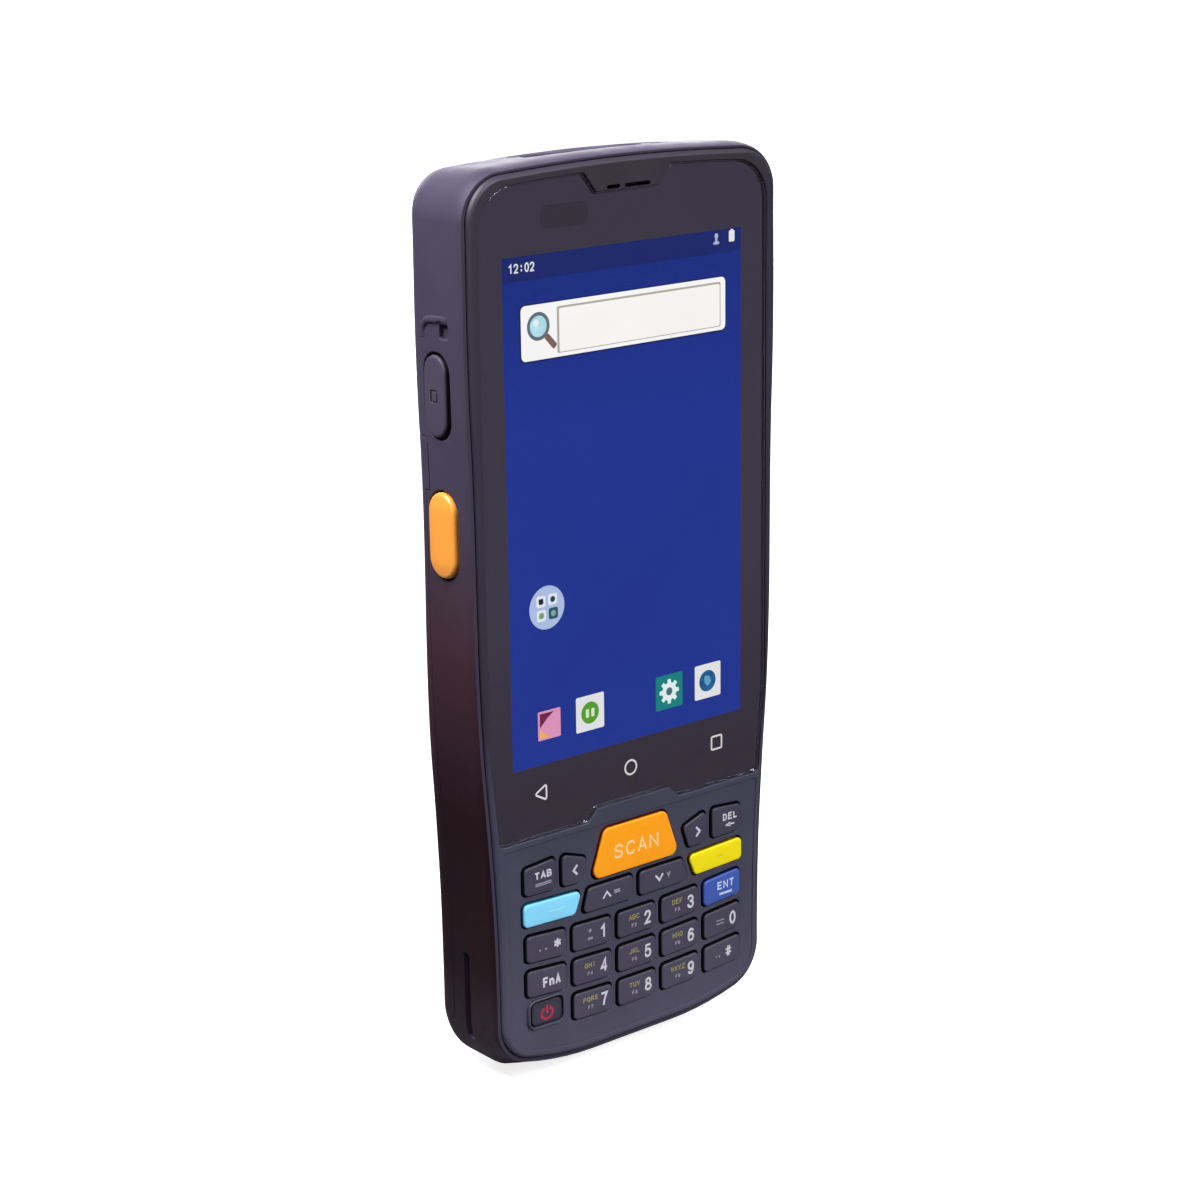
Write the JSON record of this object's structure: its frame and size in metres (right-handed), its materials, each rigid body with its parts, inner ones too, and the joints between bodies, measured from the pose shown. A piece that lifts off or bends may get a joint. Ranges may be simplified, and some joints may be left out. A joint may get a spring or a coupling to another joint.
{
  "type": "handheld barcode data terminal",
  "caption": "Slab-shaped handheld barcode terminal with a touch display, a keypad, orange side triggers, a top scan window and a rear battery door.",
  "frame": {"origin": "centre of the bottom end face, at the middle of the width and of the depth from the key tops to the back", "axes": "+Z along the length towards the scan window, the display faces -Y, +X to the right seen from the front"},
  "size_m": [0.0695, 0.0192, 0.1596],
  "materials": {
    "cover_plastic": "fine moulded texture, satin",
    "housing_plastic": "fine moulded texture, satin",
    "glass": "gloss, black printed border",
    "display": "lit display",
    "seal_rubber": "matte",
    "frame_metal": "satin",
    "module_plastic": "matte",
    "clear_plastic": "clear",
    "board": "solder mask",
    "steel": "stamped",
    "flex": "polyimide",
    "window": "gloss, dark red",
    "gold": "plated",
    "screw_steel": "blackened",
    "trigger_plastic": "satin orange",
    "flap_rubber": "matte",
    "rocker_plastic": "satin",
    "battery_case": "satin",
    "key_dark": "satin silicone and plastic",
    "key_orange": "satin",
    "key_cyan": "satin",
    "key_yellow": "satin",
    "key_blue": "satin"
  },
  "bodies": {
    "root": {"front_cover": "cover_plastic", "rear_housing": "housing_plastic", "cover_seal": "seal_rubber", "touch_glass": "glass", "lcd_panel": "display", "display_frame": "frame_metal", "earpiece": "module_plastic", "status_light": "clear_plastic", "keypad_board": "board", "dome_switches": "steel", "keypad_flex": "flex", "main_board": "board", "shield_cans": "steel", "side_switches": "module_plastic", "scan_engine": "module_plastic", "scan_window": "window", "scan_window_seal": "seal_rubber", "camera_module": "module_plastic", "camera_window": "glass", "flash_lens": "clear_plastic", "loudspeaker": "module_plastic", "speaker_mesh": "steel", "vibration_motor": "steel", "usb_socket": "steel", "card_socket": "steel", "antenna": "flex", "battery_contacts": "gold", "charge_contacts": "gold", "housing_screws": "screw_steel"},
    "left_trigger": {"left_trigger": "trigger_plastic"},
    "right_trigger": {"right_trigger": "trigger_plastic"},
    "volume_rocker": {"volume_rocker": "rocker_plastic"},
    "port_cover": {"port_cover": "flap_rubber"},
    "battery": {"battery": "battery_case"},
    "battery_door": {"battery_door": "housing_plastic"},
    "door_latch": {"door_latch": "rocker_plastic"},
    "key_scan": {"key_scan": "key_orange"},
    "key_tab": {"key_tab": "key_dark"},
    "key_left": {"key_left": "key_dark"},
    "key_right": {"key_right": "key_dark"},
    "key_delete": {"key_delete": "key_dark"},
    "key_cyan": {"key_cyan": "key_cyan"},
    "key_up": {"key_up": "key_dark"},
    "key_down": {"key_down": "key_dark"},
    "key_yellow": {"key_yellow": "key_yellow"},
    "key_star": {"key_star": "key_dark"},
    "key_1": {"key_1": "key_dark"},
    "key_2": {"key_2": "key_dark"},
    "key_3": {"key_3": "key_dark"},
    "key_enter": {"key_enter": "key_blue"},
    "key_fn": {"key_fn": "key_dark"},
    "key_4": {"key_4": "key_dark"},
    "key_5": {"key_5": "key_dark"},
    "key_6": {"key_6": "key_dark"},
    "key_0": {"key_0": "key_dark"},
    "key_power": {"key_power": "key_dark"},
    "key_7": {"key_7": "key_dark"},
    "key_8": {"key_8": "key_dark"},
    "key_9": {"key_9": "key_dark"},
    "key_hash": {"key_hash": "key_dark"}
  },
  "joints": [
    {"name": "battery_door_swing", "type": "hinge", "parent": "root", "child": "battery_door", "pos_m": [0, 0.00972, 0.01045], "axis": [-1, 0, 0], "range_deg": [0, 90]},
    {"name": "battery_tip", "type": "hinge", "parent": "root", "child": "battery", "pos_m": [0, 0.00752, 0.0168], "axis": [-1, 0, 0], "range_deg": [0, 16.2]},
    {"name": "door_latch_slide", "type": "slide", "parent": "battery_door", "child": "door_latch", "axis": [0, 0, -1], "range_m": [0, 0.002], "stiffness_N_per_m": 400, "springref_m": -0.001},
    {"name": "left_trigger_press", "type": "slide", "parent": "root", "child": "left_trigger", "axis": [1, 0, 0], "range_m": [0, 0.0008], "stiffness_N_per_m": 2000, "springref_m": -0.0003},
    {"name": "port_cover_swing", "type": "hinge", "parent": "root", "child": "port_cover", "pos_m": [-0.0344, -0.00068, 0.1154], "axis": [0, -1, 0], "range_deg": [0, 110]},
    {"name": "right_trigger_press", "type": "slide", "parent": "root", "child": "right_trigger", "axis": [-1, 0, 0], "range_m": [0, 0.0008], "stiffness_N_per_m": 2000, "springref_m": -0.0003},
    {"name": "rocker_tip", "type": "hinge", "parent": "root", "child": "volume_rocker", "pos_m": [0.0333, -0.00097, 0.1222], "axis": [0, 1, 0], "range_deg": [-2.5, 2.5], "stiffness_Nm_per_rad": 0.3},
    {"name": "tap_key_scan", "type": "slide", "parent": "root", "child": "key_scan", "axis": [0, 1, 0], "range_m": [0, 0.0005], "stiffness_N_per_m": 2000, "springref_m": -0.0002},
    {"name": "tap_key_tab", "type": "slide", "parent": "root", "child": "key_tab", "axis": [0, 1, 0], "range_m": [0, 0.0005], "stiffness_N_per_m": 1500, "springref_m": -0.0002},
    {"name": "tap_key_left", "type": "slide", "parent": "root", "child": "key_left", "axis": [0, 1, 0], "range_m": [0, 0.0005], "stiffness_N_per_m": 1500, "springref_m": -0.0002},
    {"name": "tap_key_right", "type": "slide", "parent": "root", "child": "key_right", "axis": [0, 1, 0], "range_m": [0, 0.0005], "stiffness_N_per_m": 1500, "springref_m": -0.0002},
    {"name": "tap_key_delete", "type": "slide", "parent": "root", "child": "key_delete", "axis": [0, 1, 0], "range_m": [0, 0.0005], "stiffness_N_per_m": 1500, "springref_m": -0.0002},
    {"name": "tap_key_cyan", "type": "slide", "parent": "root", "child": "key_cyan", "axis": [0, 1, 0], "range_m": [0, 0.0005], "stiffness_N_per_m": 1500, "springref_m": -0.0002},
    {"name": "tap_key_up", "type": "slide", "parent": "root", "child": "key_up", "axis": [0, 1, 0], "range_m": [0, 0.0005], "stiffness_N_per_m": 1500, "springref_m": -0.0002},
    {"name": "tap_key_down", "type": "slide", "parent": "root", "child": "key_down", "axis": [0, 1, 0], "range_m": [0, 0.0005], "stiffness_N_per_m": 1500, "springref_m": -0.0002},
    {"name": "tap_key_yellow", "type": "slide", "parent": "root", "child": "key_yellow", "axis": [0, 1, 0], "range_m": [0, 0.0005], "stiffness_N_per_m": 1500, "springref_m": -0.0002},
    {"name": "tap_key_star", "type": "slide", "parent": "root", "child": "key_star", "axis": [0, 1, 0], "range_m": [0, 0.0005], "stiffness_N_per_m": 1500, "springref_m": -0.0002},
    {"name": "tap_key_1", "type": "slide", "parent": "root", "child": "key_1", "axis": [0, 1, 0], "range_m": [0, 0.0005], "stiffness_N_per_m": 1500, "springref_m": -0.0002},
    {"name": "tap_key_2", "type": "slide", "parent": "root", "child": "key_2", "axis": [0, 1, 0], "range_m": [0, 0.0005], "stiffness_N_per_m": 1500, "springref_m": -0.0002},
    {"name": "tap_key_3", "type": "slide", "parent": "root", "child": "key_3", "axis": [0, 1, 0], "range_m": [0, 0.0005], "stiffness_N_per_m": 1500, "springref_m": -0.0002},
    {"name": "tap_key_enter", "type": "slide", "parent": "root", "child": "key_enter", "axis": [0, 1, 0], "range_m": [0, 0.0005], "stiffness_N_per_m": 1500, "springref_m": -0.0002},
    {"name": "tap_key_fn", "type": "slide", "parent": "root", "child": "key_fn", "axis": [0, 1, 0], "range_m": [0, 0.0005], "stiffness_N_per_m": 1500, "springref_m": -0.0002},
    {"name": "tap_key_4", "type": "slide", "parent": "root", "child": "key_4", "axis": [0, 1, 0], "range_m": [0, 0.0005], "stiffness_N_per_m": 1500, "springref_m": -0.0002},
    {"name": "tap_key_5", "type": "slide", "parent": "root", "child": "key_5", "axis": [0, 1, 0], "range_m": [0, 0.0005], "stiffness_N_per_m": 1500, "springref_m": -0.0002},
    {"name": "tap_key_6", "type": "slide", "parent": "root", "child": "key_6", "axis": [0, 1, 0], "range_m": [0, 0.0005], "stiffness_N_per_m": 1500, "springref_m": -0.0002},
    {"name": "tap_key_0", "type": "slide", "parent": "root", "child": "key_0", "axis": [0, 1, 0], "range_m": [0, 0.0005], "stiffness_N_per_m": 1500, "springref_m": -0.0002},
    {"name": "tap_key_power", "type": "slide", "parent": "root", "child": "key_power", "axis": [0, 1, 0], "range_m": [0, 0.00035], "stiffness_N_per_m": 1500, "springref_m": -0.0002},
    {"name": "tap_key_7", "type": "slide", "parent": "root", "child": "key_7", "axis": [0, 1, 0], "range_m": [0, 0.0005], "stiffness_N_per_m": 1500, "springref_m": -0.0002},
    {"name": "tap_key_8", "type": "slide", "parent": "root", "child": "key_8", "axis": [0, 1, 0], "range_m": [0, 0.0005], "stiffness_N_per_m": 1500, "springref_m": -0.0002},
    {"name": "tap_key_9", "type": "slide", "parent": "root", "child": "key_9", "axis": [0, 1, 0], "range_m": [0, 0.0005], "stiffness_N_per_m": 1500, "springref_m": -0.0002},
    {"name": "tap_key_hash", "type": "slide", "parent": "root", "child": "key_hash", "axis": [0, 1, 0], "range_m": [0, 0.0005], "stiffness_N_per_m": 1500, "springref_m": -0.0002}
  ],
  "couplings": [
    {"joint": "battery_tip", "follows": "battery_door_swing", "ratio": 0.18}
  ]
}
